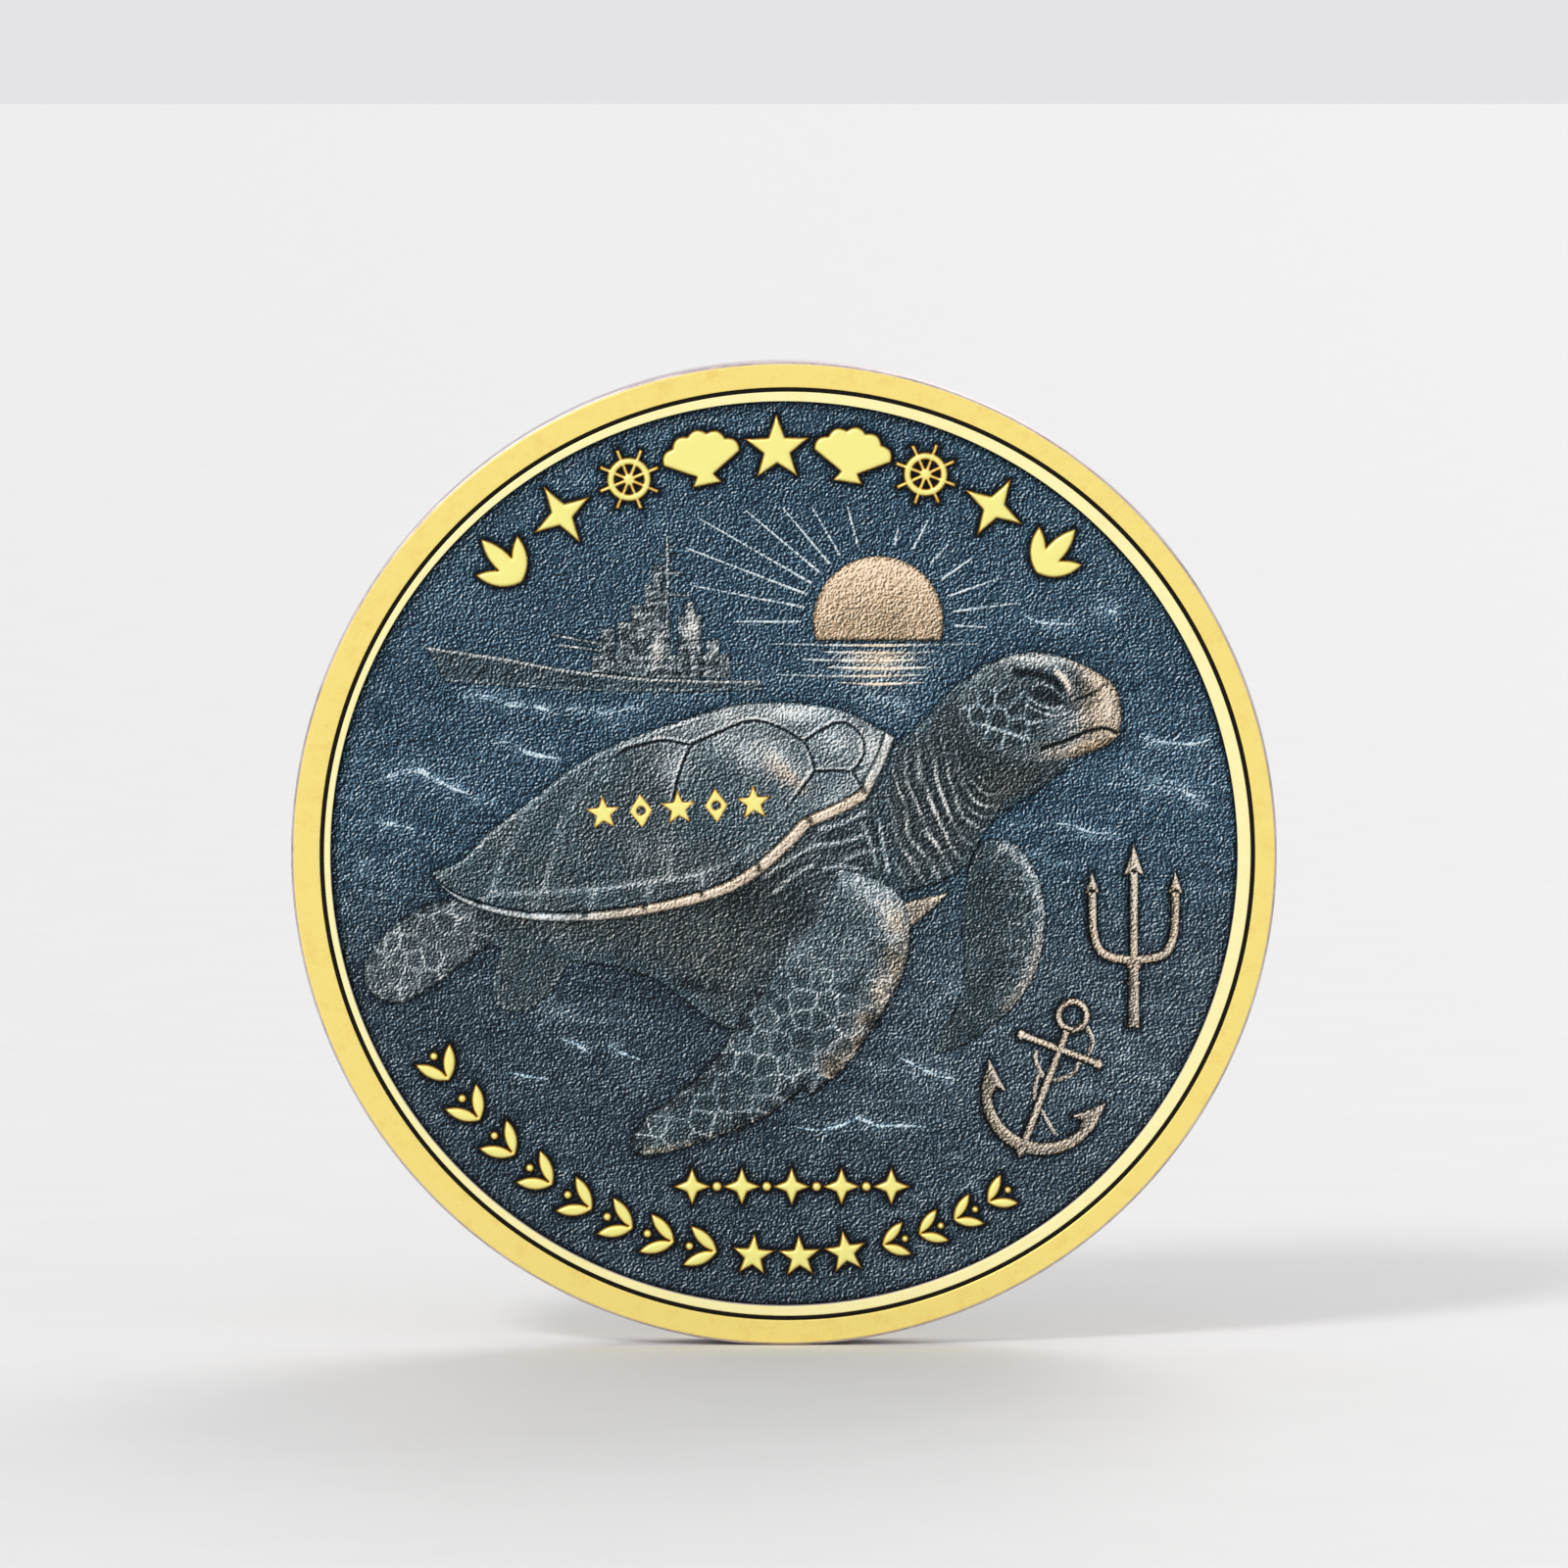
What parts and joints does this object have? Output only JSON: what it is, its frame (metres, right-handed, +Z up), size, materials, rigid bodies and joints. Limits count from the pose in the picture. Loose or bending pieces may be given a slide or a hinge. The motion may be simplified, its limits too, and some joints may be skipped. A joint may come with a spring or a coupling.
{
  "type": "challenge coin",
  "caption": "Round struck coin on its plain edge: gold rim, navy enamel field, sea turtle relief, sun, ship, trident, anchor, gold ornaments; compass rose behind.",
  "frame": {"origin": "the coin's centre, midway between its two rims", "axes": "+Y along the coin's axis, out of the back face, so the front face looks towards -Y; +Z up the picture; the coin stands on its edge"},
  "size_m": [0.0444, 0.003, 0.0444],
  "materials": {
    "core_metal": "satin plain edge, silver grey",
    "gold_plate": "satin bright gold plating, faintly mottled",
    "pale_gold": "bright pale gold, polished line",
    "black_enamel": "hard enamel, satin",
    "navy_enamel": "coarse sandblasted grain, satin",
    "pewter": "antiqued pewter, worn bright on the high points",
    "dark_pewter": "dark antiqued pewter",
    "bronze": "antiqued pale bronze, grainy",
    "sand_bronze": "matt sandy bronze",
    "wave_silver": "fine raised lines, worn silver"
  },
  "bodies": {
    "root": {"coin_blank": "core_metal", "front_gold_band": "gold_plate", "front_enamel_groove": "black_enamel", "front_inner_ring": "pale_gold", "front_field": "navy_enamel", "sun": "sand_bronze", "sun_rays": "wave_silver", "sea_ripples": "wave_silver", "wave_crests": "wave_silver", "warship_hull": "dark_pewter", "warship_deckworks": "pewter", "carapace": "pewter", "carapace_scutes": "pewter", "carapace_rim": "bronze", "turtle_head": "pewter", "turtle_neck": "pewter", "turtle_body": "dark_pewter", "near_front_flipper": "pewter", "flipper_claw": "bronze", "far_front_flipper": "pewter", "near_rear_flipper": "pewter", "far_rear_flipper": "dark_pewter", "trident": "bronze", "anchor": "bronze", "anchor_ring": "bronze", "anchor_rope": "bronze", "top_arc_ornaments": "gold_plate", "bottom_left_ornaments": "gold_plate", "bottom_stars": "gold_plate", "bottom_right_ornaments": "gold_plate", "lower_row_ornaments": "gold_plate", "shell_ornaments": "gold_plate", "back_gold_band": "gold_plate", "back_enamel_groove": "black_enamel", "back_inner_ring": "pale_gold", "back_field": "navy_enamel", "compass_rose": "bronze", "compass_boss": "gold_plate", "rope_ring": "gold_plate", "bead_border": "gold_plate"}
  },
  "joints": []
}
